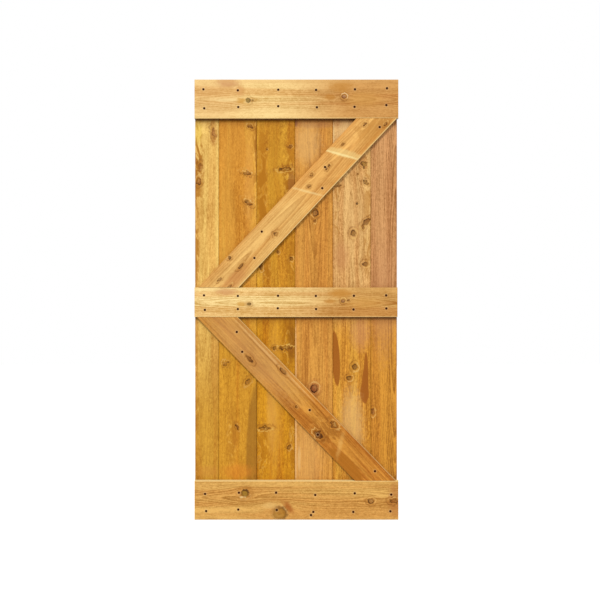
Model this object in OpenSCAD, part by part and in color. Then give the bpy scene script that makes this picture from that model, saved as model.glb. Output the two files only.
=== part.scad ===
// Ledged and braced plank door, the leaf of a sliding barn door.
// Six tongued and grooved pine planks stand side by side. Three rails and two
// diagonal braces lie on their front face, held by black countersunk screws.
// X runs along the door's width, Y from its front to its back, Z up.
// The origin is at the middle of the door's width and thickness, at its bottom edge.

/* [Door] */
// Overall width, which is the length of the top and bottom rails
door_w = 965; // [700:1:1300]
// Overall height
door_h = 2083; // [1700:1:2600]

/* [Planks] */
// Thickness of a plank
plank_t = 19; // [16:0.5:28]
// Width that a full plank covers
plank_w = 181; // [120:1:240]
// Width of the first plank, which is ripped down
first_plank_w = 113; // [80:1:180]
// Narrowest strip that the last plank may be ripped to
min_strip_w = 40; // [30:1:60]
// Open line between two planks at their faces
plank_gap = 0.8; // [0.4:0.1:2]
// Chamfer along the long edges of a plank
plank_arris = 2.5; // [1:0.1:4]
// Length of the tongue
tongue_l = 6; // [4:0.5:9]
// Thickness of the tongue
tongue_t = 6; // [4:0.5:8]
// Play all round the tongue in its groove
tongue_play = 0.25; // [0.15:0.05:0.6]

/* [Rails] */
// Thickness of the rails and braces
rail_t = 19; // [16:0.5:28]
// Height of the top rail
top_rail_h = 184; // [120:1:240]
// Height of the middle rail
middle_rail_h = 140; // [90:1:200]
// Height of the bottom rail
bottom_rail_h = 184; // [120:1:240]
// How far the middle rail's centre lies below the middle of the door
middle_rail_drop = 13; // [0:1:120]
// How far the top and bottom rails stand past the planks on the right
rail_lip = 4; // [0:0.5:12]
// Radius of the eased front edges
edge_r = 3; // [1:0.5:6]

/* [Braces] */
// Width of a brace
brace_w = 140; // [90:1:180]
// Distance of the upper brace from the planks' left and right edges
upper_brace_inset = [18, 3]; // [0:1:60]
// Distance of the lower brace from the planks' left and right edges
lower_brace_inset = [10, 7]; // [0:1:60]
// Open line between the end of a brace and a rail
brace_gap = 0.4; // [0.2:0.1:1]

/* [Screws] */
// Wood left between the point of a screw and the back of the door
screw_cover = 5.5; // [2:0.5:10]
// Diameter of the head
head_d = 8; // [6:0.1:10]
// Height of the cone under the head
head_cone = 2.6; // [2:0.1:4]
// Rim of the head above its cone
head_rim = 0.5; // [0.3:0.1:1]
// Diameter of the shank
shank_d = 3.5; // [3:0.1:5]
// Length of the point
point_l = 5; // [3:0.5:8]
// How far the head is driven below the face
head_sink = 0.5; // [0:0.1:2]
// Distance of the top rail's two rows of screws from its top and bottom edges
top_rail_rows = [48, 53]; // [20:1:80]
// Distance of the middle rail's two rows of screws from its top and bottom edges
middle_rail_rows = [39, 38]; // [20:1:60]
// Distance of the bottom rail's two rows of screws from its top and bottom edges
bottom_rail_rows = [61, 42]; // [20:1:80]
// Least distance of a rail's screw from the edges of its plank
screw_margin = 15; // [8:1:18]
// Play all round the screw in its hole
screw_play = 0.08; // [0.05:0.01:0.2]
// Width across the recess for the driver
recess_w = 4.4; // [3:0.1:6]
// Thickness of the recess's arms
recess_t = 1; // [0.7:0.1:1.5]
// Depth of the recess
recess_depth = 1.8; // [1:0.1:2.5]

/* [Hidden] */
$fn = 48;
overcut = 1; // how far a cutting shape runs past the face that it cuts

planks_w = door_w - rail_lip;
planks_left = -door_w / 2;
planks_right = planks_left + planks_w;

// Full planks fill the width, and the last plank is ripped to what is left.
full_planks = ceil((planks_w - first_plank_w - plank_w) / plank_w);
plank_count = full_planks + 2;
last_plank_w = max(planks_w - first_plank_w - full_planks * plank_w, min_strip_w);
ripped_plank_w = planks_w - full_planks * plank_w - last_plank_w;

// Height of each rail's centre
top_rail_z = door_h - top_rail_h / 2;
middle_rail_z = door_h / 2 - middle_rail_drop;
bottom_rail_z = bottom_rail_h / 2;

// The clear height that each brace crosses, from the middle rail outwards
upper_clear = [middle_rail_z + middle_rail_h / 2, door_h - top_rail_h];
lower_clear = [middle_rail_z - middle_rail_h / 2, bottom_rail_h];

// A screw reaches from just below the face of a rail almost through the plank behind it
screw_l = rail_t + plank_t - head_sink - screw_cover;

// The screws were driven by eye: how far each one strayed from the middle of
// its plank and from its row, as [x, z], from left to right in two rows
top_screw_drift = [
    [[-14, 1], [2, -4], [12, -1], [10, -2], [13, 1], [12, 6]],
    [[-10, -6], [4, 0], [12, 4], [14, -1], [11, 1], [9, 9]]
];
middle_screw_drift = [
    [[-11, 2], [2, -1], [11, 0], [9, -1], [8, 0], [8, 2]],
    [[-7, -4], [2, 0], [10, 4], [10, 0], [6, -2], [9, 3]]
];
bottom_screw_drift = [
    [[-6, -1], [7, 5], [2, 5], [6, -6], [12, 2], [32, -4]],
    [[-1, -1], [4, 6], [5, 4], [-3, -5], [5, -5], [28, -2]]
];
// One spare screw of the bottom rail: its plank, counted from 0, and its own
// drift from the lower row
spare_plank = 3;
spare_drift = [-14, -20];

// Screws of the braces, as [share of the length from the middle rail, offset across]
upper_brace_spots = [[0.199, -29], [0.304, 31], [0.619, -38], [0.694, 21], [0.981, -39]];
lower_brace_spots = [[0.107, 18], [0.186, -29], [0.576, 9], [0.678, -44], [0.968, 30]];

planks = [for (i = [1:plank_count]) str("plank_", i)];

PLANK_COLOURS = ["#dba646", "#d39a44", "#c58d31", "#d19a55", "#dba95f", "#cd8f4f"];

// ---- Places ----

// Left edge of plank i, counted from 0; i = plank_count gives the right edge of the last
function plank_x(i) = i == 0 ? planks_left
    : i == plank_count ? planks_right
    : planks_left + ripped_plank_w + (i - 1) * plank_w;

function plank_middle(i) = (plank_x(i) + plank_x(i + 1)) / 2;

// Where a screw sits on plank i, strayed from its middle but clear of its edges
function screw_x(i, stray) =
    let (room = max((plank_x(i + 1) - plank_x(i)) / 2 - screw_margin, 0))
        plank_middle(i) + max(-room, min(room, stray));

// Two rows of screws along a rail of height h, one pair on each plank, as [x, z]
function rail_spots(rail_z, h, rows, drift) =
    let (row_z = [rail_z + h / 2 - rows[0], rail_z - h / 2 + rows[1]])
        [
            for (row = [0, 1], i = [0:plank_count - 1])
                let (stray = drift[row][i % len(drift[row])])
                    [screw_x(i, stray[0]), row_z[row] + stray[1]]
        ];

// Slope of a brace of width w that fills a clear height and a clear width from
// corner to corner
function brace_slope(height, width, w) =
    atan2(height, width) + asin(w / norm([height, width]));

// A brace as [start x, start z, direction up or down, slope, length], along its centre line
function brace_line(clear, inset) =
    let (
        way = sign(clear[1] - clear[0]),
        height = abs(clear[1] - clear[0]),
        slope = brace_slope(height, planks_w - inset[0] - inset[1], brace_w)
    )
    [planks_left + inset[0] + brace_w / 2 / sin(slope), clear[0], way, slope, height / sin(slope)];

// Where the screws of a brace sit, as [x, z]
function brace_spots(line, spots) = [
    for (s = spots)
        let (along = s[0] * line[4], a = line[2] * line[3])
            [line[0] + along * cos(a) - s[1] * sin(a), line[1] + along * sin(a) + s[1] * cos(a)]
];

upper_line = brace_line(upper_clear, upper_brace_inset);
lower_line = brace_line(lower_clear, lower_brace_inset);

top_spots = rail_spots(top_rail_z, top_rail_h, top_rail_rows, top_screw_drift);
middle_spots = rail_spots(middle_rail_z, middle_rail_h, middle_rail_rows, middle_screw_drift);
spare_spot = [
    screw_x(min(spare_plank, plank_count - 1), spare_drift[0]),
    bottom_rail_rows[1] + spare_drift[1]
];
bottom_spots = concat(
    rail_spots(bottom_rail_z, bottom_rail_h, bottom_rail_rows, bottom_screw_drift),
    [spare_spot]
);
upper_spots = brace_spots(upper_line, upper_brace_spots);
lower_spots = brace_spots(lower_line, lower_brace_spots);
all_spots = concat(top_spots, middle_spots, bottom_spots, upper_spots, lower_spots);

// ---- Screws ----

// Half section of a screw, head at the origin and point downwards, swollen by play
module screw_section(play = 0) {
    head_r = head_d / 2 + play;
    shank_r = shank_d / 2 + play;
    polygon([
        [0, 0],
        [head_r, 0],
        [head_r, -head_rim],
        [shank_r, -head_rim - head_cone],
        [shank_r, -screw_l + point_l],
        [0, -screw_l - play]
    ]);
}

// Cross recess in the face of the head
module driver_recess() {
    for (turn = [0, 90])
        rotate([0, 0, turn])
            translate([-recess_w / 2, -recess_t / 2, -recess_depth])
                cube([recess_w, recess_t, recess_depth + overcut]);
}

module screw() {
    difference() {
        rotate_extrude() screw_section();
        driver_recess();
    }
}

// Room that a screw takes, open to the face that it was driven through
module screw_hole() {
    rotate_extrude() screw_section(screw_play);
    translate([0, 0, -screw_play])
        cylinder(r = head_d / 2 + screw_play, h = head_sink + screw_play + overcut);
}

// Stands its children on the front of the rails at each spot, pointing into the door
module at_spots(spots) {
    for (s = spots)
        translate([s[0], -rail_t + head_sink, s[1]])
            rotate([90, 0, 0])
                children();
}

module screws(spots) {
    color("#231d19") at_spots(spots) screw();
}

// ---- Boards ----

// Section of plank i across its width, with its groove on the left and tongue on the right
module plank_section(i) {
    first = i == 0;
    last = i == plank_count - 1;
    left = plank_x(i) + (first ? 0 : plank_gap / 2);
    right = plank_x(i + 1) - (last ? 0 : plank_gap / 2);
    c = plank_arris;
    tongue_y = (plank_t - tongue_t) / 2;
    tongue_tip = tongue_t / 5;
    tongue_end = plank_x(i + 1) + tongue_l;
    difference() {
        union() {
            polygon([
                [left, c], [left + c, 0], [right - c, 0], [right, c],
                [right, plank_t - c], [right - c, plank_t], [left + c, plank_t], [left, plank_t - c]
            ]);
            if (!last)
                polygon([
                    [right - overcut, tongue_y], [tongue_end - tongue_tip, tongue_y],
                    [tongue_end, tongue_y + tongue_tip], [tongue_end, plank_t - tongue_y - tongue_tip],
                    [tongue_end - tongue_tip, plank_t - tongue_y], [right - overcut, plank_t - tongue_y]
                ]);
        }
        if (!first)
            translate([left - overcut, tongue_y - tongue_play])
                square([
                    plank_x(i) + tongue_l + tongue_play - left + overcut,
                    tongue_t + 2 * tongue_play
                ]);
    }
}

// One vertical plank, with a hole for each screw that reaches it
module plank(i) {
    reach = head_d + tongue_l;
    near = [for (s = all_spots) if (s[0] > plank_x(i) - reach && s[0] < plank_x(i + 1) + reach) s];
    color(PLANK_COLOURS[i % len(PLANK_COLOURS)])
        difference() {
            linear_extrude(door_h) plank_section(i);
            at_spots(near) screw_hole();
        }
}

// Section of a board that lies on the planks, w wide, with its two front edges eased
module eased_section(w) {
    translate([-w / 2, -rail_t + edge_r]) square([w, rail_t - edge_r]);
    translate([-w / 2 + edge_r, -rail_t]) square([w - 2 * edge_r, rail_t]);
    for (side = [-1, 1])
        translate([side * (w / 2 - edge_r), -rail_t + edge_r]) circle(edge_r);
}

// A rail of length l and height h about its centre, eased on all four front edges
module rail(l, h) {
    intersection() {
        translate([0, 0, -h / 2])
            linear_extrude(h) eased_section(l);
        rotate([0, 90, 0])
            translate([0, 0, -l / 2])
                linear_extrude(l) eased_section(h);
    }
}

module top_rail() {
    color("#e2b468")
        difference() {
            translate([0, 0, top_rail_z]) rail(door_w, top_rail_h);
            at_spots(top_spots) screw_hole();
        }
}

module middle_rail() {
    color("#deb066")
        difference() {
            translate([planks_left + planks_w / 2, 0, middle_rail_z]) rail(planks_w, middle_rail_h);
            at_spots(middle_spots) screw_hole();
        }
}

module bottom_rail() {
    color("#d5a156")
        difference() {
            translate([0, 0, bottom_rail_z]) rail(door_w, bottom_rail_h);
            at_spots(bottom_spots) screw_hole();
        }
}

// A brace along its line, cut level at both ends to fit between two rails
module brace(line, clear, spots) {
    low = min(clear) + brace_gap;
    high = max(clear) - brace_gap;
    spare_l = brace_w * 2;
    difference() {
        intersection() {
            translate([line[0], 0, line[1]])
                rotate([0, 90 - line[2] * line[3], 0])
                    translate([0, 0, -spare_l])
                        linear_extrude(line[4] + 2 * spare_l) eased_section(brace_w);
            translate([planks_left, -rail_t - overcut, low])
                cube([planks_w, rail_t + 2 * overcut, high - low]);
        }
        at_spots(spots) screw_hole();
    }
}

module upper_brace() {
    color("#d9a55b") brace(upper_line, upper_clear, upper_spots);
}

module lower_brace() {
    color("#cb8f45") brace(lower_line, lower_clear, lower_spots);
}

// ---- Output ----

for (i = [0:plank_count - 1])
    plank(i);
top_rail();
middle_rail();
bottom_rail();
upper_brace();
lower_brace();
screws(top_spots);  // top_rail_screws
screws(middle_spots);  // middle_rail_screws
screws(bottom_spots);  // bottom_rail_screws
screws(upper_spots);  // upper_brace_screws
screws(lower_spots);  // lower_brace_screws
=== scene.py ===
import math
import bpy
from mathutils import Matrix, Vector


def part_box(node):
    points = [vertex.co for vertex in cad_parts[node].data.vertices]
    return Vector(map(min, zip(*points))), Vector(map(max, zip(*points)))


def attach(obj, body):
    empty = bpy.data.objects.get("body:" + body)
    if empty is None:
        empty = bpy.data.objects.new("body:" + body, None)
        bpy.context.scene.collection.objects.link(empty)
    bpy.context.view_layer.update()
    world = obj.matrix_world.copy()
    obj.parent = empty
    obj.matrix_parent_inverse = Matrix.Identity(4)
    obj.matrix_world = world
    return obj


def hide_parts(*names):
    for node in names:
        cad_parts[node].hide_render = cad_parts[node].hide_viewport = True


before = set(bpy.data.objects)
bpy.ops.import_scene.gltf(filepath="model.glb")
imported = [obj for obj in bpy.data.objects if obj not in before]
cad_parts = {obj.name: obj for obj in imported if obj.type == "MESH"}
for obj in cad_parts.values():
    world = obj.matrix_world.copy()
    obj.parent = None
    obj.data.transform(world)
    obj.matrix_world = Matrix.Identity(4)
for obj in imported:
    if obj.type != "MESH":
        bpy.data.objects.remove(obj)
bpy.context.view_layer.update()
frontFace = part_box("top_rail")[0].y
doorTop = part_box("top_rail")[1].z
print("frame loaded")


class Wire:  # one output of a node, with Python's own arithmetic
    def __init__(self, graph, socket):
        self.graph = graph
        self.socket = socket

    def sum(self, operation, *others, clamp=False):
        settings = {"operation": operation, "use_clamp": clamp}
        return self.graph.node("ShaderNodeMath", settings, dict(enumerate((self, *others))))

    def __add__(self, other):
        return self.sum("ADD", other)

    def __radd__(self, other):
        return self.sum("ADD", other)

    def __sub__(self, other):
        return self.sum("SUBTRACT", other)

    def __rsub__(self, other):
        return self.graph.node("ShaderNodeMath", {"operation": "SUBTRACT"}, {0: other, 1: self})

    def __mul__(self, other):
        return self.sum("MULTIPLY", other)

    def __rmul__(self, other):
        return self.sum("MULTIPLY", other)

    def __truediv__(self, other):
        return self.sum("DIVIDE", other)

    def __rtruediv__(self, other):
        return self.graph.node("ShaderNodeMath", {"operation": "DIVIDE"}, {0: other, 1: self})

    def __pow__(self, other):
        return self.sum("POWER", other)

    def __abs__(self):
        return self.sum("ABSOLUTE")

    def clamp(self):
        return self.sum("ADD", 0, clamp=True)

    def scaled(self, factor, more):
        return self.sum("MULTIPLY_ADD", factor, more)

    def smooth(self, low, high, first, last):
        settings = {"interpolation_type": "SMOOTHSTEP"}
        links = {0: self, 1: low, 2: high, 3: first, 4: last}
        return self.graph.node("ShaderNodeMapRange", settings, links)

    def step(self, low, high, top=1.0):  # 0 below low, top above high
        return self.smooth(low, high, 0, top)

    def fall(self, low, high, top=1.0):  # top below low, 0 above high
        return self.smooth(low, high, top, 0)


class Graph:  # the nodes of one material
    def __init__(self, name, **shader):
        self.material = bpy.data.materials.new(name)
        self.material.use_nodes = True
        self.tree = self.material.node_tree
        self.shader = self.tree.nodes["Principled BSDF"]
        for key, value in shader.items():
            self.shader.inputs[key.replace("_", " ")].default_value = value

    def node(self, kind, settings=None, links=None, output=0):
        made = self.tree.nodes.new(kind)
        for key, value in (settings or {}).items():
            setattr(made, key, value)
        for key, value in (links or {}).items():
            if isinstance(value, Wire):
                self.tree.links.new(value.socket, made.inputs[key])
            else:
                made.inputs[key].default_value = value
        return Wire(self, made.outputs[output])

    def place(self):
        return self.node("ShaderNodeTexCoord", output="Object")

    def vector(self, operation, *others):
        return self.node("ShaderNodeVectorMath", {"operation": operation}, dict(enumerate(others)))

    def measure(self, operation, *others):  # the vector operations that give a number
        links = dict(enumerate(others))
        return self.node("ShaderNodeVectorMath", {"operation": operation}, links, output="Value")

    def dot(self, vector, direction):
        return self.measure("DOT_PRODUCT", vector, direction)

    def around(self, vector, at, half, lean=0.0):
        # the place as seen from the middle of an ellipse, in its own half axes
        return self.node("ShaderNodeMapping", {"vector_type": "TEXTURE"}, {
            "Vector": vector, "Location": (at[0], at[1], 0),
            "Rotation": (0, 0, lean), "Scale": (half[0], half[1], 1)})

    def point(self, x, y, z=0.0):
        return self.node("ShaderNodeCombineXYZ", None, {0: x, 1: y, 2: z})

    def noise(self, vector, scale=1.0, detail=2.0, rough=0.5, distort=0.0):
        return self.node("ShaderNodeTexNoise", None, {
            "Vector": vector, "Scale": scale, "Detail": detail,
            "Roughness": rough, "Distortion": distort})

    def blend(self, low, high, amount, mode="MIX"):  # Mix on colours
        settings = {"data_type": "RGBA", "blend_type": mode, "clamp_factor": True}
        return self.node("ShaderNodeMix", settings, {0: amount, 6: low, 7: high}, output=2)

    def feed(self, **inputs):
        for key, value in inputs.items():
            self.tree.links.new(value.socket, self.shader.inputs[key.replace("_", " ")])

    def bump(self, height, distance):
        links = {"Height": height, "Distance": distance, "Strength": 1.0}
        normal = self.node("ShaderNodeBump", None, links)
        self.feed(Normal=normal)


def tone(text):  # "#rrggbb" as the linear colour that a shader takes
    parts = [int(text[i:i + 2], 16) / 255 for i in (1, 3, 5)]
    return [c / 12.92 if c <= 0.04045 else ((c + 0.055) / 1.055) ** 2.4 for c in parts] + [1.0]


patterns = {  # repeats a metre along, across and through a board, then detail, roughness, distortion
    "sway": (1.1, 3.0, 3.0, 2.0, 0.5, 0.0),
    "ripple": (6.0, 16.0, 16.0, 2.0, 0.5, 0.0),
    "band": (0.9, 26.0, 20.0, 1.0, 0.5, 0.0),
    "streak": (2.6, 80.0, 60.0, 3.0, 0.6, 0.0),
    "fine": (18.0, 800.0, 800.0, 2.0, 0.6, 0.0),
    "cloud": (5.5, 14.0, 14.0, 3.0, 0.55, 0.6),
    "curl": (55.0, 120.0, 60.0, 3.0, 0.85, 1.0),
    "wobble": (60.0, 60.0, 60.0, 2.0, 0.5, 0.0),
}


def pattern(g, name, along, across, depth, shift=0.0):
    perAlong, perAcross, perDepth, detail, rough, distort = patterns[name]
    through = depth * perDepth
    if shift:
        through = through + shift
    return g.noise(g.point(along * perAlong, across * perAcross, through), 1.0, detail, rough, distort)


ringLook = dict(
    ripple=0.006,  # how far the small waves push a ring, in metres
    uneven=1.6,  # how much the rings' spacing changes, in rings
    lateCurve=1.7,  # how slowly a ring darkens
    lateEnd=0.88,  # where in a ring the dark wood stops
    plainFrom=0.02, plainTo=0.07)  # how far from the pith the rings fade


def ringField(g, board, along, across, depth):
    # growth rings about a pith line that runs beside the board, so that they show as cathedrals
    rings = board["rings"]
    seed = board["seed"]
    sway = pattern(g, "sway", along, across, depth, seed)
    ripple = pattern(g, "ripple", along, across, depth, seed)
    side = across - rings["pith"] + (sway - 0.5) * rings["sway"] + (ripple - 0.5) * ringLook["ripple"]
    below = depth + rings["below"]
    fromMiddle = along - rings["middle"]
    reach = (side * side + below * below) ** 0.5
    radius = reach + along * rings["taper"] + fromMiddle * fromMiddle * rings["bow"]
    count = radius / rings["width"]
    shift = g.noise(g.point(count * 0.35, seed, 0.0), 1.0, 1.0) - 0.5
    count = count + shift * ringLook["uneven"]
    phase = count.sum("FRACT")
    late = (phase ** ringLook["lateCurve"]) * (1 - phase.step(ringLook["lateEnd"], 1.0))
    strength = g.noise(g.point(count.sum("FLOOR") * 7.31, 0.0, seed), 1.0, 0.0)
    plain = abs(side).step(ringLook["plainFrom"], ringLook["plainTo"]) * board["plainness"]
    return late * (strength * 1.3 + 0.2) * (1 - plain)


knotLook = dict(  # what a knot has when its board doesn't say otherwise
    stretch=1.2,  # its length along the grain, as a share of its width
    lean=0,  # degrees from the grain
    feather=2.8,  # how torn its outline is
    turn=60,  # the side that catches the light, in degrees from the grain
    reach=3.4,  # how far the swirls go, in knot sizes
    halo="#ad6a20", haloAmount=0.45,
    # the pale swirls are a painted highlight on the lit side and the dark swirls a painted shade on the
    # far side
    pale="#efc074", shine=0.55,
    dark="#7a4211", swirl=0.65,
    amount=0.75,
    ringTone="#5a2c08", rimTone="#3a1b06", rim=0.5)
grainPush = dict(long=2.2, amount=1.6, core=0.5)  # how a knot bends the grain that passes it


def knotShift(g, board, flat, across):
    # how far the grain is pushed aside by each knot
    total = None
    for look in board["knots"]:
        square = look["size"] ** 2
        near = g.around(flat, look["at"], (grainPush["long"], 1))
        away = g.dot(near, near) + square * grainPush["core"]
        pushed = (across - look["at"][1]) * (square * grainPush["amount"]) / away
        total = pushed if total is None else total + pushed
    return total


def paintKnot(g, colour, look, flat, warp):
    # a brown body with rings and a dark rim, swirls of pale and dark grain about it, and an amber glow;
    # the pale swirls are a painted highlight on the side towards the light, the dark swirls and the
    # thicker part of the rim a painted shade on the far side
    size = look["size"]
    feather = look["feather"] * size
    warped = g.vector("MULTIPLY_ADD", warp, (feather, feather, 0), flat)
    near = g.around(warped, look["at"], (look["stretch"] * size, size), math.radians(look["lean"]))
    reach = g.measure("LENGTH", near)
    turn = math.radians(look["turn"])
    towardLight = g.dot(g.vector("NORMALIZE", near), (math.cos(turn), math.sin(turn), 0))
    fade = reach.fall(1.4, look["reach"])
    stroke = (reach * 4.6 - towardLight * 1.2).sum("SINE")
    halo = reach.fall(0.6, 3.6, look["haloAmount"])
    colour = g.blend(colour, tone(look["halo"]), halo)
    pale = stroke.step(0.1, 0.9) * fade * towardLight.step(-0.5, 0.7, look["shine"])
    dark = stroke.fall(-0.9, -0.1) * fade * towardLight.fall(-0.6, 0.6, look["swirl"])
    colour = g.blend(colour, tone(look["pale"]), pale)
    colour = g.blend(colour, tone(look["dark"]), dark)
    rings = (reach * 11.0).sum("SINE").scaled(0.125, 0.125)
    body = g.blend(tone(look["core"]), tone(look["ringTone"]), rings)
    colour = g.blend(colour, body, reach.fall(0.8, 1.1, look["amount"]))
    # the rim is darker on the side away from the light: painted shade
    rim = reach.step(0.7, 0.95) * reach.fall(1.05, 1.4, look["rim"]) * towardLight.scaled(-0.5, 1.1)
    return g.blend(colour, tone(look["rimTone"]), rim)


stainLook = dict(skew=0, lean=0, ragged=0.7, soft=0.6)


def stainShape(g, look, flat, wobble, top):
    # top inside an ellipse that can be skewed, turned, ragged and soft, and 0 outside
    atAlong, atAcross = look["at"]
    if look["skew"]:
        shear = g.vector("MULTIPLY", g.dot(flat, (0, look["skew"], 0)), (1, 0, 0))
        flat = g.vector("ADD", flat, shear)
        atAlong = atAlong + atAcross * look["skew"]
    near = g.around(flat, (atAlong, atAcross), look["half"], math.radians(look["lean"]))
    reach = wobble.scaled(look["ragged"], g.measure("LENGTH", near))
    return reach.fall(1 - look["soft"], 1 + look["soft"] * 0.5, top)


mottleLook = dict(
    perAlong=10.0, perAcross=24.0,  # curls a metre
    blotchFrom=0.46, blotchTo=0.52, blotchAmount=0.95,
    outline=(0.41, 0.44, 0.48), outlineAmount=0.55)  # where the pale outline starts, peaks and ends


def paintMottle(g, colour, board, along, across, flat, wobble):
    # curly amber blotches with pale outlines, in the places that the board names
    inside = None
    for look in board["mottles"]:
        shape = stainShape(g, look, flat, wobble, look["amount"])
        inside = shape if inside is None else inside.sum("MAXIMUM", shape)
    if inside is None:
        return colour
    at = g.point(along * mottleLook["perAlong"], across * mottleLook["perAcross"], board["seed"] * 1.7)
    curl = g.noise(at, 1.0, 3.0, 0.6, 1.0)
    low, peak, high = mottleLook["outline"]
    blotch = curl.step(mottleLook["blotchFrom"], mottleLook["blotchTo"])
    outline = curl.step(low, peak) * curl.fall(peak, high)
    colour = g.blend(colour, tone(board["mottleTone"]), blotch * inside * mottleLook["blotchAmount"])
    return g.blend(colour, tone(board["outlineTone"]), outline * inside * mottleLook["outlineAmount"])


# painted shade and shadow on the planks under the top and the middle rail
railShade = dict(
    lineTone="#5a2804", lineAmount=0.85, lineFrom=0.003, lineTo=0.011,
    bandTone="#7c4210", bandAmount=0.4, bandFrom=0.004, bandTo=0.05)


def paintShadeUnderRails(g, colour, along, front):
    # painted shade in the corner under the top and the middle rail: a dark line, then a softer band of
    # painted shadow
    for railName in ("top_rail", "middle_rail"):
        below = along - (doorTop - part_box(railName)[0].z)
        line = below.fall(railShade["lineFrom"], railShade["lineTo"], railShade["lineAmount"])
        band = below.fall(railShade["bandFrom"], railShade["bandTo"], railShade["bandAmount"])
        line = below.step(-0.002, 0.0) * line * front
        band = below.step(0.0, 0.01) * band * front
        colour = g.blend(colour, tone(railShade["bandTone"]), band)
        colour = g.blend(colour, tone(railShade["lineTone"]), line)
    return colour


# tones of the painted edge highlight and of the painted shade on the lower face
edgeLightLook = dict(wearAndHighlightTone="#fcd998", undersideShadeTone="#4a2204", undersideShadeAmount=0.9)


def paintEdgeHighlightAndShade(g, colour, board, across, depth):
    # painted highlight on the eased edges, pale like worn wood, and painted shade on the lower face
    width = board["width"]
    lowerEdge = across.fall(0.002, 0.006, board["edges"][0])
    upperEdge = across.step(width - 0.004, width - 0.001, board["edges"][1])
    colour = g.blend(colour, tone(edgeLightLook["wearAndHighlightTone"]), lowerEdge)
    colour = g.blend(colour, tone(edgeLightLook["wearAndHighlightTone"]), upperEdge)
    shadedUnderside = across.fall(0.0002, 0.001) * depth.step(0.006, 0.009, edgeLightLook["undersideShadeAmount"])
    return g.blend(colour, tone(edgeLightLook["undersideShadeTone"]), shadedUnderside)


# the dark ring is painted countersink shade as well as gathered oil
screwMark = dict(shadeAndOilTone="#2c0c02", shadeAndOilAmount=0.95, paleTone="#ffe6bc", paleAmount=0.1)


def paintScrewMarks(g, colour, place, spots):
    # a dark ring about each screw, painted countersink shade together with gathered oil, and a paler one
    # outside it
    flat = g.vector("MULTIPLY", place, (1, 0, 1))
    nearest = None
    for x, z in spots:
        reach = g.measure("DISTANCE", flat, (x, 0, z))
        nearest = reach if nearest is None else nearest.sum("MINIMUM", reach)
    pale = nearest.step(0.0055, 0.0065) * nearest.fall(0.007, 0.012, screwMark["paleAmount"])
    colour = g.blend(colour, tone(screwMark["paleTone"]), pale)
    ring = nearest.fall(0.005, 0.0066, screwMark["shadeAndOilAmount"])
    return g.blend(colour, tone(screwMark["shadeAndOilTone"]), ring)


oil = dict(
    tint=(0.61, 0.63, 0.59, 1),  # takes the studio's light out of the boards' tones
    gloss=0.06, roughness=0.56,
    relief=0.0004)  # the height of the grain, in metres


def woodMaterial(name, board):
    g = Graph(name, Specular_IOR_Level=oil["gloss"])
    place = g.place()
    along = g.dot(place, board["grain"]) - board["start"]
    across = g.dot(place, board["side"]) - board["edge"]
    depth = g.dot(place, (0, 1, 0)) - board["face"]
    seed = board["seed"]
    flat = g.point(along, across)
    grainAcross = across - knotShift(g, board, flat, across)
    late = ringField(g, board, along, grainAcross, depth)
    band = pattern(g, "band", along, grainAcross, depth, seed * 2.3)
    streak = pattern(g, "streak", along, grainAcross, depth, seed * 3.1)
    fine = pattern(g, "fine", along, grainAcross, depth)
    cloud = pattern(g, "cloud", along, across, depth, seed)
    curl = pattern(g, "curl", along, across, depth, seed)
    wobble = pattern(g, "wobble", along, across, depth) - 0.5
    warp = [g.noise(g.point(along * 70.0, across * 70.0, seed + shift), 1.0, 1.5) - 0.5
            for shift in (20.0, 40.0)]
    warp = g.point(*warp)
    value = late * board["contrast"] + (streak - 0.5) * board["streaks"] + (fine - 0.5) * 0.35
    value = value + (cloud - 0.5) * board["clouds"] + (curl - 0.5) * board["curls"]
    value = value + (band - 0.5) * board["bands"] + 0.5 - board["contrast"] * 0.25
    colour = g.blend(tone(board["light"]), tone(board["dark"]), value.clamp())
    colour = g.blend(colour, tone(board["tint"]), band.step(0.42, 0.58) * 0.8, "MULTIPLY")
    low, high = board["footFrom"]
    foot = along.step(board["length"] * low, board["length"] * high)
    colour = g.blend(colour, tone(board["foot"]), foot, "MULTIPLY")
    colour = paintMottle(g, colour, board, along, across, flat, wobble)
    front = depth.fall(0.003, 0.009)
    for look in board["stains"]:
        amount = stainShape(g, look, flat, wobble, look["amount"]) * front
        colour = g.blend(colour, tone(look["tone"]), amount)
    for look in board["knots"]:
        colour = paintKnot(g, colour, look, flat, warp)
    if "plank" in name:
        colour = paintShadeUnderRails(g, colour, along, front)
    else:
        colour = paintEdgeHighlightAndShade(g, colour, board, across, depth)
        colour = paintScrewMarks(g, colour, place, screwSpots(name.replace("wood_", "") + "_screws"))
    colour = g.blend(colour, oil["tint"], 1.0, "MULTIPLY")
    g.feed(Base_Color=colour)
    g.feed(Roughness=oil["roughness"] - late * 0.1 + (fine - 0.5) * 0.12)
    g.bump(late * 0.4 + fine * 0.5, oil["relief"])
    return g.material


def millimetres(*sizes):
    return tuple(size / 1000 for size in sizes)


def knot(along, across, size, core, **looks):  # its place and radius, and the tone of its body
    return dict(knotLook, at=millimetres(along, across), size=size / 1000, core=core, **looks)


def mottle(along, across, halfLong, halfWide, amount):  # where a board has curly blotches
    half = millimetres(halfLong, halfWide)
    return dict(stainLook, at=millimetres(along, across), half=half, amount=amount)


def stain(along, across, halfLong, halfWide, hue, amount, **looks):
    return dict(mottle(along, across, halfLong, halfWide, amount), tone=hue, **looks)


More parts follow.
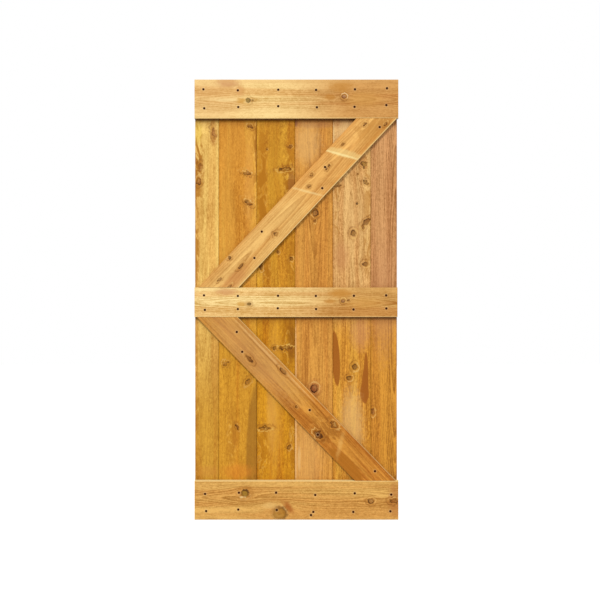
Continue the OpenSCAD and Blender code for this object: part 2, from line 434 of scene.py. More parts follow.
woodLook = dict(  # what a board has when it doesn't say otherwise
    contrast=0.5,  # of the growth rings
    plainness=0.4,  # how far the rings fade away from the pith
    streaks=1.5, clouds=0.8, curls=1.9, bands=0.9,  # how strong each pattern is
    tint="#fff2ea",  # of the broad bands
    footFrom=(0.45, 0.6),  # where along the board its other end's tint begins and is full
    edges=(0.45, 0.1),  # how strong the painted highlight, pale like worn wood, is on the lower and the upper edge
    mottleTone="#b27222", outlineTone="#f0be6c",
    knots=[], stains=[], mottles=[])


def wood(light, dark, foot, pith, below, width, taper, sway, middle=0, bow=0, **looks):
    # three tones, then the growth rings: the pith's place, a ring's width, and how they taper and bow
    rings = dict(pith=pith, below=below, width=width, taper=taper, sway=sway, middle=middle, bow=bow)
    rings = {key: size / 1000 for key, size in rings.items()}
    return dict(woodLook, light=light, dark=dark, foot=foot, rings=rings) | looks


# places run along the grain from a plank's top or a board's left end, and across from its left or
# lower edge
boards = {
    "plank_1": wood(
        "#fed078", "#c08c3e", "#dac482",
        pith=30, below=60, width=6, taper=26, sway=30,
        footFrom=(0.42, 0.8), contrast=0.3, streaks=0.7, curls=2.1,
        knots=[
            knot(250, 90, 9, "#b4743a", stretch=2.4, lean=12, rim=0.2),
            knot(415, 25, 9, "#a86a2e", stretch=2, rim=0.2, amount=0.6),
            knot(480, 18, 9, "#9c5c24", stretch=1.6, turn=200, amount=0.6),
        ],
        mottles=[
            mottle(400, 5, 260, 38, 1.0),
            mottle(800, 0, 320, 22, 0.8),
            mottle(1500, 5, 300, 14, 0.5),
        ],
        stains=[
            stain(240, 12, 70, 22, "#e9c452", 0.45),
            stain(265, 86, 45, 16, "#b06c2c", 0.65),
            stain(1860, 60, 30, 60, "#cf8a3c", 0.35),
        ]),
    "plank_2": wood(
        "#f2b048", "#ae6e18", "#eeeac0",
        pith=70, below=30, width=6, taper=20, sway=34,
        contrast=0.3, bands=0.7, streaks=0.6, curls=2.0, tint="#fff0e8",
        knots=[
            knot(218, 150, 12, "#854a16", stretch=0.55, lean=-30, turn=240, feather=1.6),
            knot(440, 133, 15, "#8a5018", stretch=0.45, lean=-12, turn=180, reach=4, feather=1.8,
                amount=0.6, shine=0.7),
            knot(582, 142, 16, "#864c16", stretch=0.45, lean=-32, turn=190, reach=4, feather=1.8,
                amount=0.6, shine=0.7),
            knot(1345, 30, 11, "#a86c24", rim=0.35, amount=0.55, shine=0.4, stretch=0.8, turn=200),
            knot(1432, 138, 9, "#9c6220", stretch=1.7, lean=-35, rim=0.5, amount=0.65, shine=0.3),
            knot(1648, 87, 5, "#6e3c10", stretch=2.6, lean=25, shine=0.25),
        ],
        mottles=[
            mottle(360, 175, 330, 16, 0.8),
            mottle(590, 140, 60, 26, 0.8),
            mottle(1700, 60, 170, 24, 0.5),
        ],
        stains=[
            stain(290, 70, 130, 80, "#cc8a34", 0.35),
            stain(1820, 188, 400, 60, "#94601e", 0.68, soft=0.12, ragged=0.12),
            stain(1700, 77, 50, 18, "#b4701e", 0.5),
            stain(700, 40, 360, 44, "#daa044", 0.35),
            stain(500, 145, 240, 26, "#df9848", 0.45),
            stain(1860, 90, 40, 80, "#d9802c", 0.45),
            stain(310, 178, 120, 7, "#9c5a14", 0.6, soft=0.3),
        ]),
    "plank_3": wood(
        "#ecac38", "#9a5a0a", "#f4e8ac",
        pith=120, below=35, width=6, taper=24, sway=34,
        contrast=0.3, bands=0.8, streaks=0.6, curls=2.0, tint="#fff2e4", mottleTone="#a6640e",
        outlineTone="#e2b05c",
        knots=[
            knot(315, 158, 9, "#8d5214", stretch=0.5, turn=100),
            knot(420, 134, 24, "#8a5414", stretch=0.34, reach=3.6, turn=0, lean=6, shine=0.7,
                pale="#e6b45c", feather=1.4, amount=0.55),
            knot(327, 49, 3, "#5d330c"),
            knot(815, 101, 5, "#7a4712"),
            knot(886, 20, 7, "#7a4712", stretch=2),
            knot(848, 163, 7, "#85500f"),
            knot(1272, 82, 6, "#85601c"),
            knot(1272, 138, 26, "#8a5414", stretch=0.28, reach=3.6, turn=180, shine=0.75, pale="#e8ba62",
                feather=1.3, amount=0.5),
            knot(1653, 34, 24, "#8e5a18", stretch=0.34, reach=3.6, turn=0, shine=0.65, pale="#e8ba62",
                feather=1.4, amount=0.5),
            knot(1743, 153, 8, "#8a5616"),
        ],
        mottles=[
            mottle(500, 24, 260, 26, 1.0),
            mottle(470, 155, 130, 30, 0.9),
            mottle(1240, 150, 130, 34, 0.8),
            mottle(890, 40, 110, 36, 0.6),
            mottle(860, 162, 130, 22, 0.6),
            mottle(1760, 30, 130, 40, 0.55),
            mottle(1650, 170, 220, 16, 0.7),
        ],
        stains=[
            stain(500, 22, 330, 22, "#bb7618", 0.6, soft=0.3),
            stain(500, 84, 420, 38, "#cc8e26", 0.5),
            stain(490, 165, 60, 18, "#a3662a", 0.75, soft=0.3),
            stain(1500, 84, 420, 40, "#d8993a", 0.5),
            stain(1560, 70, 200, 26, "#dca04a", 0.4),
            stain(1245, 165, 105, 24, "#8c520e", 0.75, ragged=0.4),
            stain(300, 165, 110, 20, "#bd781a", 0.5),
        ]),
    "plank_4": wood(
        "#e4a04a", "#aa6c28", "#ffffff",
        pith=95, below=45, width=7, taper=30, sway=26,
        contrast=0.6, clouds=0.5, curls=2.2, bands=0.6, tint="#fff6f0",
        knots=[
            knot(629, 98, 12, "#96602e", feather=1.2, rim=0.6, turn=250, haloAmount=0.6),
            knot(667, 95, 6, "#8a5220", rim=0.3),
            knot(1465, 92, 14, "#94502a", feather=1.2, rim=0.7, halo="#a86038", haloAmount=0.7, turn=140),
        ],
        stains=[
            # painted shadow under the top rail: a soft reddish band, and a darker spot in the joint below
            # it
            stain(205, 90, 24, 110, "#b07850", 0.45, ragged=0.2, soft=0.5),
            stain(200, 2, 20, 14, "#7c4a3c", 0.7),
            stain(300, 60, 110, 70, "#eab878", 0.4),
            stain(1800, 60, 220, 80, "#e2a964", 0.4),
            stain(1800, 20, 70, 8, "#f0c488", 0.4),
            stain(1560, 4, 480, 5, "#f6c898", 0.35, soft=0.3),
        ]),
    "plank_5": wood(
        "#f2be7c", "#ac783e", "#fae690",
        pith=90, below=14, width=8, taper=14, sway=22, middle=1300, bow=60,
        contrast=0.7, clouds=0.6, streaks=1.2, curls=2.4,
        knots=[
            knot(398, 148, 12, "#a0702c", rim=0.6),
            knot(444, 118, 4, "#9a5f24"),
            knot(482, 156, 12, "#9c6a2a", stretch=0.6, lean=-25, rim=0.6),
            knot(501, 29, 10, "#7a4a1c", stretch=0.5, turn=180),
            knot(585, 115, 4, "#3d210f", haloAmount=0.2),
            knot(672, 158, 9, "#8a5526", stretch=2.4, lean=-45),
            knot(700, 145, 5, "#8a5526", rim=0.3),
            knot(725, 96, 11, "#94622a", feather=1.2, rim=0.5),
            knot(872, 153, 12, "#8d5a28", feather=1.2, stretch=0.8, rim=0.5),
            knot(1362, 103, 11, "#80501c", feather=1.2, rim=0.5),
            knot(1415, 76, 11, "#8a5c22", feather=1.2, rim=0.5, stretch=0.8),
        ],
        mottles=[
            mottle(650, 165, 340, 20, 0.6),
            mottle(600, 20, 180, 20, 0.5),
        ],
        stains=[
            # painted shadow under the top rail
            stain(205, 45, 24, 70, "#b07850", 0.4, ragged=0.2),
            stain(330, 3, 150, 4, "#f4cc98", 0.5, soft=0.3),
            stain(1200, 130, 90, 50, "#c98a5c", 0.5),
            stain(1322, 13, 134, 20, "#a05a1a", 0.95, soft=0.08, ragged=0.08, lean=3.5),
            stain(1410, 157, 118, 11, "#a05a1a", 0.95, soft=0.08, ragged=0.08),
            stain(1452, 153, 88, 16, "#a05a1a", 0.95, soft=0.08, ragged=0.08),
            stain(1486, 150, 48, 21, "#a05a1a", 0.95, soft=0.08, ragged=0.08),
            stain(255, 70, 80, 70, "#fcd090", 0.5),
            stain(835, 40, 75, 40, "#c08050", 0.5, ragged=0.3),
            stain(640, 110, 130, 60, "#d6a468", 0.35),
            stain(1650, 90, 200, 60, "#e6b878", 0.5),
        ]),
    "plank_6": wood(
        "#dca06a", "#9c6636", "#fff090",
        pith=110, below=14, width=8, taper=0, sway=30, middle=1000, bow=40,
        contrast=1.0, clouds=0.5, curls=2.2, bands=0.6, tint="#fff6f4",
        knots=[
            knot(1576, 8, 8, "#a0602a", stretch=1.8, rim=0.3),
        ],
        stains=[
            stain(1050, 60, 300, 60, "#c98c60", 0.35),
        ]),
    "top_rail": wood(
        "#ffd896", "#c8964c", "#dabca0",
        pith=88, below=12, width=8, taper=4, sway=16, middle=450, bow=90,
        footFrom=(0.35, 0.8), contrast=0.9, clouds=0.9, bands=0.9, streaks=0.8, plainness=0.85,
        knots=[
            knot(254, 84, 10, "#745a16", feather=1.4, stretch=1.1, halo="#d09a44", haloAmount=0.3,
                rim=0.4, shine=0.2, swirl=0.3, turn=180),
            knot(276, 86, 4, "#8a7432", rim=0.3),
            knot(708, 102, 9, "#a87050", feather=1.2, stretch=1.0, shine=0.95, rim=0.4, halo="#b9772c",
                haloAmount=0.6, pale="#f3cfa0"),
        ],
        stains=[
            stain(90, 92, 150, 130, "#dca368", 0.35),
            stain(160, 168, 60, 24, "#cf9060", 0.7),
            stain(215, 130, 22, 28, "#d79a5c", 0.6),
            stain(222, 84, 24, 14, "#cf9338", 0.75),
            stain(150, 86, 60, 9, "#ffe0a4", 0.4),
            stain(690, 150, 60, 30, "#c2802f", 0.6, ragged=1.2),
            stain(640, 100, 30, 14, "#bf7d30", 0.7),
            stain(800, 90, 90, 40, "#d79c50", 0.5),
            stain(500, 175, 500, 12, "#dba868", 0.4),
        ]),
    "middle_rail": wood(
        "#ffdc9c", "#c8984e", "#dcc2a4",
        pith=66, below=12, width=8, taper=4, sway=16, middle=450, bow=90,
        footFrom=(0.35, 0.8), contrast=0.9, clouds=0.9, bands=0.9, streaks=0.8, plainness=0.85,
        knots=[
            knot(257, 62, 6, "#6c4e10", feather=1.4, stretch=1.6, rim=0.4, shine=0.2, swirl=0.3,
                turn=180),
            knot(704, 76, 8, "#9c6848", feather=1.2, stretch=1.0, shine=0.95, rim=0.4),
            knot(728, 80, 4, "#8a5218"),
        ],
        stains=[
            stain(150, 120, 55, 18, "#cf9060", 0.6),
            stain(222, 62, 24, 12, "#cf9338", 0.7),
            stain(690, 112, 60, 22, "#c2802f", 0.7),
            stain(640, 75, 28, 11, "#bf7d30", 0.7),
            stain(800, 66, 90, 30, "#d79c50", 0.5),
        ]),
    "bottom_rail": wood(
        "#e8b264", "#a87430", "#ffffff",
        pith=105, below=12, width=8, taper=8, sway=26, middle=620, bow=80,
        contrast=0.9, edges=(0.2, 0.9), streaks=0.9, plainness=0.8, clouds=0.6, bands=0.7,
        knots=[
            knot(239, 125, 16, "#9c7424", feather=1.2, stretch=1.05, rim=0.5, turn=262, shine=0.12,
                swirl=0.4, pale="#fbe0a4", amount=0.85, reach=2.6),
            knot(403, 30, 29, "#a87222", feather=0.7, stretch=1.1, rim=0.3, turn=200, shine=0.3,
                swirl=0.3, haloAmount=0.2, reach=2, amount=0.7),
            knot(835, 87, 10, "#a87238", feather=1.2, rim=0.6),
            knot(945, 88, 9, "#96561e", stretch=2),
        ],
        stains=[
            stain(444, 60, 40, 17, "#a85c26", 0.9, lean=-50, soft=0.9),
            stain(424, 56, 30, 4, "#f2ca82", 0.45, lean=-50),
            stain(360, 66, 44, 16, "#ecc07a", 0.5),
            stain(224, 107, 10, 5, "#f9dc9e", 0.8),
            stain(240, 110, 5, 9, "#f9dc9e", 0.6),
            stain(950, 93, 36, 90, "#b4703a", 0.6),
            stain(940, 100, 20, 14, "#9a5a1c", 0.6),
        ]),
    "upper_brace": wood(
        "#fac67a", "#b47a38", "#fff4e6",
        pith=70, below=30, width=8, taper=30, sway=22,
        edges=(0.65, 0.0), contrast=0.5, streaks=0.8, curls=0.8, tint="#fff4e6",
        knots=[
            knot(1036, 92, 6, "#86501e", stretch=1.5, rim=0.5, amount=0.65),
            knot(1105, 20, 5, "#8a5220", stretch=2, amount=0.5),
            knot(897, 104, 5, "#9a6024"),
            knot(778, 82, 5, "#4a260e", rim=0.8),
            knot(758, 80, 5, "#5a3012"),
            knot(690, 112, 6, "#a06a2c", amount=0.5),
            knot(642, 86, 6, "#96602a", amount=0.5),
            knot(370, 45, 8, "#9c6a30", stretch=1.2, turn=280, amount=0.45, rim=0.4),
            knot(138, 126, 6, "#5a3012", rim=0.7),
            knot(145, 62, 5, "#74441a", stretch=3, amount=0.65, shine=0.4),
            knot(30, 92, 5, "#8a5520", stretch=2, amount=0.5),
            knot(33, 34, 5, "#7e4c1e", stretch=3, amount=0.5),
        ],
        mottles=[
            mottle(1050, 60, 110, 70, 0.45),
        ],
        stains=[
            stain(1095, 30, 60, 26, "#b47430", 0.5),
            stain(70, 36, 100, 36, "#c98650", 0.5),
            stain(868, 72, 22, 90, "#f2cf88", 0.5, skew=0.52, soft=0.4, ragged=0.8),
            stain(856, 74, 7, 90, "#fbe0a0", 0.75, skew=0.52, soft=0.8, ragged=0.9),
            stain(618, 72, 7, 84, "#f6d596", 0.5, skew=0.54, soft=0.8, ragged=1.0),
        ]),
    "lower_brace": wood(
        "#e0a04a", "#985a16", "#fff4e0",
        pith=70, below=30, width=8, taper=30, sway=22,
        edges=(0.0, 0.4), contrast=0.5, streaks=1.3, curls=1.1, tint="#fff0e4", mottleTone="#8c4f14",
        outlineTone="#e4ac5c",
        knots=[
            knot(246, 42, 8, "#7e4814", stretch=2.6, turn=200, shine=0.35, feather=2, pale="#dba765"),
            knot(399, 116, 7, "#84501a", stretch=2.6, amount=0.6, shine=0.4, feather=2, pale="#dba765"),
            knot(565, 43, 5, "#84501a"),
            knot(749, 113, 11, "#8a5620", stretch=1.6, amount=0.5, rim=0.4),
            knot(731, 28, 12, "#6a3a10", stretch=1.5, turn=220),
        ],
        mottles=[
            mottle(250, 60, 130, 60, 0.35),
            mottle(730, 60, 110, 80, 0.45),
        ],
        stains=[
            stain(220, 70, 330, 90, "#d29a5c", 0.5),
            stain(330, 111, 300, 4, "#8e5a24", 0.45),
            stain(330, 121, 300, 6, "#efc080", 0.4),
            stain(925, 22, 110, 34, "#aa661a", 0.8, soft=0.15, ragged=0.2),
            stain(838, 70, 14, 60, "#ecb464", 0.4, skew=0.6, soft=0.9, ragged=1.0),
            stain(735, 36, 60, 26, "#8a5012", 0.5),
        ]),
}


def pickAlone(piece):
    bpy.ops.object.select_all(action="DESELECT")
    piece.select_set(True)
    bpy.context.view_layer.objects.active = piece


def pickParts(piece, kind, test):
    # edit mode with only the faces or edges that pass the test: by middle and normal, or by both ends
    if bpy.context.mode == "EDIT_MESH":
        bpy.ops.object.mode_set(mode="OBJECT")
    pickAlone(piece)
    mesh = piece.data
    for group in (mesh.vertices, mesh.edges, mesh.polygons):
        group.foreach_set("select", [False] * len(group))
    if kind == "FACE":
        for face in mesh.polygons:
            face.select = test(face.center, face.normal)
    else:
        for edge in mesh.edges:
            edge.select = test(*(mesh.vertices[i].co for i in edge.vertices))
    bpy.ops.object.mode_set(mode="EDIT")
    bpy.ops.mesh.select_mode(type=kind)


def putDown(piece, matrix=None):
    # back to object mode, with the piece's place in its mesh
    if bpy.context.mode == "EDIT_MESH":
        bpy.ops.object.mode_set(mode="OBJECT")
    pickAlone(piece)
    if matrix is not None:
        piece.matrix_world = matrix
    bpy.ops.object.transform_apply(location=True, rotation=True, scale=True)


def cutAway(piece, cutter, operation="DIFFERENCE"):
    pickAlone(piece)
    cut = piece.modifiers.new("cut", "BOOLEAN")
    cut.operation = operation
    cut.solver = "EXACT"
    cut.object = cutter
    bpy.ops.object.modifier_apply(modifier=cut.name)
    bpy.data.objects.remove(cutter)


def turned(name, profile, segments):
    # a turned piece on the Z axis: a circle extruded and scaled along a profile of (radius, height)
    bpy.ops.object.select_all(action="DESELECT")
    radius, bottom = profile[0]
    bpy.ops.mesh.primitive_circle_add(
        vertices=segments, radius=radius, location=(0, 0, bottom), fill_type="NGON")
    piece = bpy.context.active_object
    piece.name = name
    putDown(piece)
    bpy.ops.object.mode_set(mode="EDIT")
    bpy.ops.mesh.select_all(action="SELECT")
    before = (radius, bottom)
    for radius, height in profile[1:]:
        bpy.ops.mesh.extrude_region_move(TRANSFORM_OT_translate={"value": (0, 0, height - before[1])})
        share = radius / before[0]
        bpy.ops.transform.resize(value=(share, share, 1), center_override=(0, 0, height))
        before = (radius, height)
    bpy.ops.mesh.select_all(action="SELECT")
    bpy.ops.mesh.normals_make_consistent(inside=False)
    bpy.ops.object.mode_set(mode="OBJECT")
    return piece


def joined(name, pieces):
    bpy.ops.object.select_all(action="DESELECT")
    for piece in pieces:
        piece.select_set(True)
    bpy.context.view_layer.objects.active = pieces[0]
    bpy.ops.object.join()
    pieces[0].name = name
    return pieces[0]


screw = dict(
    headRadius=0.004, rim=0.0005, cone=0.0026, sink=0.0005,
    faceRadius=0.93, faceDrop=0.0001,  # the head's eased face, as a share of its radius, and its depth
    bellyRadius=0.72, bellyDepth=0.42,  # the cone's hollow side, as shares of its radius and depth
    neckRadius=0.00175, neckLength=0.010, neckTaper=0.0006,
    coreRadius=0.00125, pointLength=0.005, pointRadius=0.00015,
    pitch=0.0013, ridge=0.45,  # the ridge's radius as a share of the pitch
    play=0.00008, segments=24, threadSteps=16,
    recessWidth=0.0044, recessThickness=0.001, recessDepth=0.0018,
    recessFloor=(0.35, 0.6, 1),  # the recess's floor as shares of its mouth
    turnStep=37)  # degrees that each screw is turned past the one before


def screwSpots(nodeName):
    # where a screw's point ends, the CAD node has its deepest corner
    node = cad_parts[nodeName]
    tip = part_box(nodeName)[1].y
    spots = {}
    for corner in node.data.vertices:
        if corner.co.y > tip - 1e-5:
            spots[(round(corner.co.x, 4), round(corner.co.z, 4))] = True
    return sorted(spots)


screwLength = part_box("top_rail_screws")[1].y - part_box("top_rail_screws")[0].y


def copiesAt(first, spots, turnStep=0):
    # a copy of a screw or a cutter at each spot, its point into the door
    copies = []
    for i, (x, z) in enumerate(spots):
        copy = first.copy()
        copy.data = first.data.copy()
        bpy.context.collection.objects.link(copy)
        copy.location = (x, frontFace + screw["sink"], z)
        copy.rotation_euler = (math.radians(90), math.radians(turnStep * i), 0)
        putDown(copy)
        copies.append(copy)
    return copies


def makeCutter(spots):
    # the room that each screw takes, open to the front
    play = screw["play"]
    head = screw["headRadius"] + play
    shank = screw["neckRadius"] + play
    under = screw["rim"] + screw["cone"]
    profile = [
        (head, 0.002),
        (head, -screw["rim"] - play),
        (shank, -under - play),
        (shank, -screwLength + screw["pointLength"]),
        (0.0002, -screwLength - play)]
    first = turned("cutter", profile, screw["segments"])
    copies = copiesAt(first, spots)
    bpy.data.objects.remove(first)
    return joined("cutters", copies)


def makeThread():
    # a three-cornered ridge wound round the core
    turns = int((screwLength - screw["neckLength"] - screw["pointLength"] * 0.5) / screw["pitch"])
    ridge = screw["pitch"] * screw["ridge"]
    bpy.ops.object.select_all(action="DESELECT")
    bpy.ops.mesh.primitive_circle_add(
        vertices=3, radius=ridge, rotation=(math.radians(90), math.radians(90), 0),
        location=(screw["neckRadius"] - ridge, 0, -screw["neckLength"]))
    thread = bpy.context.active_object
    putDown(thread)
    wind = thread.modifiers.new("wind", "SCREW")
    wind.axis = "Z"
    wind.screw_offset = -screw["pitch"]
    wind.iterations = turns
    wind.steps = wind.render_steps = screw["threadSteps"]
    bpy.ops.object.modifier_apply(modifier=wind.name)
    bpy.ops.object.mode_set(mode="EDIT")
    bpy.ops.mesh.select_all(action="SELECT")
    bpy.ops.mesh.fill_holes(sides=3)
    bpy.ops.mesh.normals_make_consistent(inside=False)
    bpy.ops.object.mode_set(mode="OBJECT")
    return thread


def makeScrew():
    # head up at the origin, point down
    head = screw["headRadius"]
    neck = screw["neckRadius"]
    core = screw["coreRadius"]
    rim = screw["rim"]
    profile = [
        (head * screw["faceRadius"], 0.0),
        (head, -screw["faceDrop"]),
        (head, -rim),
        (head * screw["bellyRadius"], -rim - screw["cone"] * screw["bellyDepth"]),
        (neck, -(rim + screw["cone"])),
        (neck, -screw["neckLength"] + screw["neckTaper"]),
        (core, -screw["neckLength"]),
        (core, -screwLength + screw["pointLength"]),
        (screw["pointRadius"], -screwLength)]
    piece = turned("screw", profile, screw["segments"])
    cutAway(piece, makeThread(), "UNION")
    for turn in (0, 90):
        bpy.ops.object.select_all(action="DESELECT")
        depth = screw["recessDepth"]
        bpy.ops.mesh.primitive_cube_add(size=1, location=(0, 0, 0.0005 - depth / 2))
        blade = bpy.context.active_object
        blade.scale = (screw["recessWidth"], screw["recessThickness"], depth + 0.001)
        putDown(blade)
        pickParts(blade, "FACE", lambda middle, normal: normal.z < -0.9)
        bpy.ops.transform.resize(value=screw["recessFloor"])
        blade.rotation_euler = (0, 0, math.radians(turn))
        putDown(blade)
        cutAway(piece, blade)
    bpy.ops.object.shade_smooth_by_angle(angle=math.radians(35))
    return piece


def screwMaterial():
    g = Graph("black_screw", Metallic=0.0, Roughness=0.6, Specular_IOR_Level=0.03)
    speck = g.noise(g.place(), 900.0, 2.0)
    g.feed(Base_Color=g.blend(tone("#260600"), tone("#3a1004"), speck))
    return g.material


def makeScrews():
    blackScrew = screwMaterial()
    first = makeScrew()
    first.data.materials.append(blackScrew)
    for nodeName in [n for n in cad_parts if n.endswith("_screws")]:
        row = joined("black_" + nodeName, copiesAt(first, screwSpots(nodeName), screw["turnStep"]))
        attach(row, "root")
        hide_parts(nodeName)
    bpy.data.objects.remove(first)


makeScrews()
print("screws done")


joinery = dict(
    cell=0.02,  # spacing of the grid that a board's faces are built on
    edgeRadius=0.003, arris=0.0025,
    tongueLength=0.006, tongueThickness=0.006, play=0.00025, gap=0.0008,
    noseShare=0.6,  # thickness of a tongue's nose, as a share of the tongue's
    cutterSize=0.02,
    braceWidth=0.14,
    braceSpare=1.2,  # what each end of a brace has to spare until it is cut, in its widths
    knotFrom=0.0075, knotSize=0.012,  # the smallest knot that is raised, and the widest that it gets
    knotRise=0.0003, rimDepth=0.0006)
onEdge = 1e-4  # how close counts as on an edge
onFace = 1e-5  # and as on a face


def settleBoard(name, board):
    # each board's size and directions, from its CAD node: along the grain, across it, out of the face
    low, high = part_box(name)
    board["seed"] = float(list(boards).index(name) * 3 + 1)
    board["thickness"] = high.y - low.y
    board["face"] = low.y
    if name.startswith("plank"):
        number = int(name[-1])
        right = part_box(f"plank_{number + 1}")[0].x - joinery["gap"] if number < 6 else high.x
        grain, side, corner = Vector((0, 0, -1)), Vector((1, 0, 0)), Vector((low.x, low.y, high.z))
        board["length"], board["width"] = high.z - low.z, right - low.x
    elif name.endswith("rail"):
        grain, side, corner = Vector((1, 0, 0)), Vector((0, 0, 1)), low
        board["length"], board["width"] = high.x - low.x, high.z - low.z
    else:
        upward = 1 if name.startswith("upper") else -1
        width, span, rise = joinery["braceWidth"], high.x - low.x, high.z - low.z
        slope = math.atan2(rise, span) + math.asin(width / math.hypot(span, rise))
        grain = Vector((math.cos(slope), 0, upward * math.sin(slope)))
        side = Vector((-upward * math.sin(slope), 0, math.cos(slope)))
        corner = Vector((low.x + width / 2 / math.sin(slope), low.y, low.z if upward > 0 else high.z))
        corner -= side * (width / 2)
        board["length"], board["width"] = rise / math.sin(slope), width
        board["ends"] = (low.z, high.z)
    board["grain"], board["side"] = tuple(grain), tuple(side)
    board["start"], board["edge"] = corner.dot(grain), corner.dot(side)
    out = Vector((0, -1, 0))
    board["matrix"] = Matrix((
        (grain.x, side.x, out.x, corner.x), (grain.y, side.y, out.y, corner.y),
        (grain.z, side.z, out.z, corner.z), (0, 0, 0, 1)))


def layBoard(name, board):
    # the board flat on its back: X along the grain, Y across it, its face up at Z = 0
    length, width, thickness = board["length"], board["width"], board["thickness"]
    spare = width * joinery["braceSpare"] if "ends" in board else 0.0
    cell = joinery["cell"]
    bpy.ops.object.select_all(action="DESELECT")
    bpy.ops.mesh.primitive_grid_add(
        x_subdivisions=round((length + 2 * spare) / cell), y_subdivisions=round(width / cell),
        size=1, location=(length / 2, width / 2, 0))
    piece = bpy.context.active_object
    piece.name = "oiled_" + name
    piece.scale = (length + 2 * spare, width, 1)
    putDown(piece)
    bpy.ops.object.mode_set(mode="EDIT")
    bpy.ops.mesh.select_all(action="SELECT")
    bpy.ops.mesh.extrude_region_move(TRANSFORM_OT_translate={"value": (0, 0, -thickness)})
    bpy.ops.mesh.select_all(action="SELECT")
    bpy.ops.mesh.normals_make_consistent(inside=False)
    return piece


def easeEdges(piece, board, isPlank):
    width, length, thickness = board["width"], board["length"], board["thickness"]

    def outer(a, b):
        side = min(a.y, b.y) > width - onEdge or max(a.y, b.y) < onEdge
        end = min(a.x, b.x) > length - onEdge or max(a.x, b.x) < onEdge
        squareEnd = end and not isPlank and "ends" not in board
        level = min(a.z, b.z) > -onFace or (isPlank and max(a.z, b.z) < -thickness + onFace)
        return level and (side or squareEnd)

    pickParts(piece, "EDGE", outer)
    if isPlank:
        bpy.ops.mesh.bevel(offset=joinery["arris"], segments=1, affect="EDGES")
    else:
        bpy.ops.mesh.bevel(offset=joinery["edgeRadius"], segments=4, affect="EDGES")


def makeTongue(piece, board):
    width, thickness = board["width"], board["thickness"]
    half = joinery["tongueThickness"] / 2
    for level in (half, -half):
        pickParts(piece, "FACE", lambda middle, normal: True)
        bpy.ops.mesh.bisect(plane_co=(0, 0, level - thickness / 2), plane_no=(0, 0, 1))
    pickParts(piece, "FACE", lambda middle, normal:
              middle.y > width - onEdge and abs(middle.z + thickness / 2) < half)
    reach = joinery["tongueLength"] + joinery["gap"] / 2
    nose = thickness / 16
    for length in (reach - nose, nose):
        bpy.ops.mesh.extrude_region_move(TRANSFORM_OT_translate={"value": (0, length, 0)})
    bpy.ops.transform.resize(value=(1, 1, joinery["noseShare"]))


def cutGroove(piece, board):
    length, thickness = board["length"], board["thickness"]
    deep = joinery["tongueLength"] + joinery["play"]
    size = joinery["cutterSize"]
    bpy.ops.object.select_all(action="DESELECT")
    bpy.ops.mesh.primitive_cube_add(size=1, location=(length / 2, deep - size / 2, -thickness / 2))
    block = bpy.context.active_object
    block.scale = (length + size, size, joinery["tongueThickness"] + 2 * joinery["play"])
    putDown(block)
    cutAway(piece, block)


def raiseKnots(piece, board):
    # a finer grid round each knot, which then stands a little proud with a sunken rim
    large = [(look["at"], min(look["size"], joinery["knotSize"])) for look in board["knots"]
             if look["size"] > joinery["knotFrom"]]
    for (x, y), size in large:
        pickParts(piece, "FACE", lambda middle, normal: normal.z > 0.99
                  and math.hypot(middle.x - x, middle.y - y) < size * 1.4 + joinery["cell"] * 0.5)
        bpy.ops.mesh.subdivide(number_cuts=max(2, round(joinery["cell"] * 2.5 / size)))
    bpy.ops.object.mode_set(mode="OBJECT")
    for corner in piece.data.vertices:
        if corner.co.z < -onFace:
            continue
        lift = 0.0
        for (x, y), size in large:
            reach = math.hypot(corner.co.x - x, corner.co.y - y) / size
            if reach < 2.0:
                dome = math.exp(-(reach / 0.6) ** 2)
                ring = math.exp(-((reach - 1.0) / 0.3) ** 2)
                lift += joinery["knotRise"] * dome - joinery["rimDepth"] * ring
        corner.co.z += lift


def trimEnds(piece, board):
    # a brace is cut level at both ends
    low, high = board["ends"]
    for level, up in ((low, -1), (high, 1)):
        pickParts(piece, "FACE", lambda middle, normal: True)
        bpy.ops.mesh.bisect(plane_co=(0, 0, level), plane_no=(0, 0, up), use_fill=True, clear_outer=True)


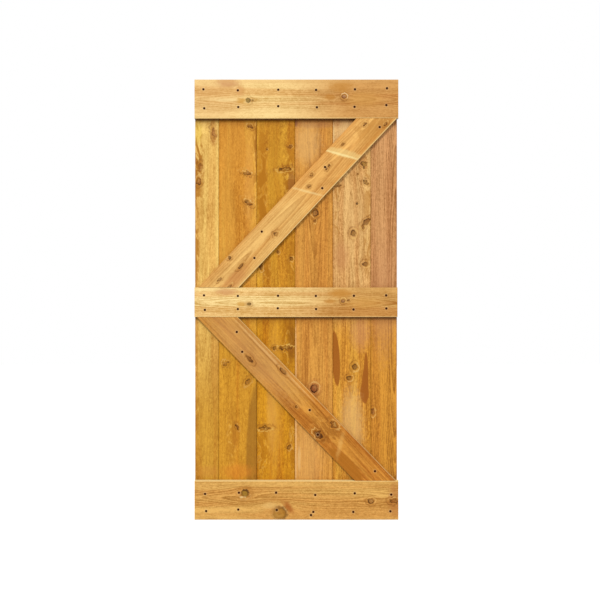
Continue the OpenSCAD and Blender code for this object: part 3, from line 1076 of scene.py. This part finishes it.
def makeBoard(name, board):
    isPlank = name.startswith("plank")
    piece = layBoard(name, board)
    easeEdges(piece, board, isPlank)
    if isPlank and name != "plank_6":
        makeTongue(piece, board)
    if board["knots"]:
        raiseKnots(piece, board)
    putDown(piece)
    if isPlank and name != "plank_1":
        cutGroove(piece, board)
    putDown(piece, board["matrix"])
    if "ends" in board:
        trimEnds(piece, board)
        putDown(piece)
    if isPlank:
        low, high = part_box(name)
        spots = [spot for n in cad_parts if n.endswith("_screws") for spot in screwSpots(n)
                 if low.x - 0.01 < spot[0] < high.x + 0.01 and low.z < spot[1] < high.z]
    else:
        spots = screwSpots(name + "_screws")
    cutAway(piece, makeCutter(spots))
    bpy.ops.object.shade_smooth_by_angle(angle=math.radians(30))
    piece.data.materials.clear()
    piece.data.materials.append(woodMaterial("wood_" + name, board))
    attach(piece, "root")
    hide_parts(name)
    return piece


for boardName, boardLook in boards.items():
    settleBoard(boardName, boardLook)
    made = makeBoard(boardName, boardLook)
    print(boardName, "done,", len(made.data.polygons), "faces")


studio = dict(
    distance=3.0,  # from the rails' face to the lens
    height=1.0394,
    aside=0.017,
    frameWidth=2.838,  # how much of the rails' plane the picture takes in
    sunTilt=50,  # degrees from straight down, towards the front
    sunTurn=-10,
    sunStrength=2.45,
    sunSoftness=10,
    skyStrength=1.0,
    floorSize=14, floorDrop=0.001, floorTone=(0.74, 0.74, 0.74, 1), floorGlow=0.25,
    sensorWidth=36)
white = (1, 1, 1, 1)


def buildStudio():
    bpy.ops.object.select_all(action="DESELECT")
    bpy.ops.mesh.primitive_plane_add(size=studio["floorSize"], location=(0, 0, -studio["floorDrop"]))
    floor = bpy.context.active_object
    floor.name = "floor"
    g = Graph("pale_floor", Roughness=0.9)
    g.shader.inputs["Base Color"].default_value = studio["floorTone"]
    g.shader.inputs["Emission Color"].default_value = white
    g.shader.inputs["Emission Strength"].default_value = studio["floorGlow"]
    floor.data.materials.append(g.material)

    bpy.ops.object.light_add(type="SUN", location=(0, -2, 4))
    sun = bpy.context.active_object
    sun.data.energy = studio["sunStrength"]
    sun.data.angle = math.radians(studio["sunSoftness"])
    sun.rotation_euler = (math.radians(studio["sunTilt"]), 0, math.radians(studio["sunTurn"]))

    world = bpy.data.worlds.new("studio")
    bpy.context.scene.world = world
    world.use_nodes = True
    sky = world.node_tree.nodes["Background"]
    sky.inputs["Color"].default_value = white
    sky.inputs["Strength"].default_value = studio["skyStrength"]

    bpy.ops.object.camera_add(
        location=(studio["aside"], frontFace - studio["distance"], studio["height"]),
        rotation=(math.radians(90), 0, 0))
    camera = bpy.context.active_object
    camera.data.sensor_width = studio["sensorWidth"]
    camera.data.lens = studio["sensorWidth"] * studio["distance"] / studio["frameWidth"]
    bpy.context.scene.camera = camera
    bpy.context.scene.view_settings.view_transform = "Standard"


buildStudio()
print("studio done")
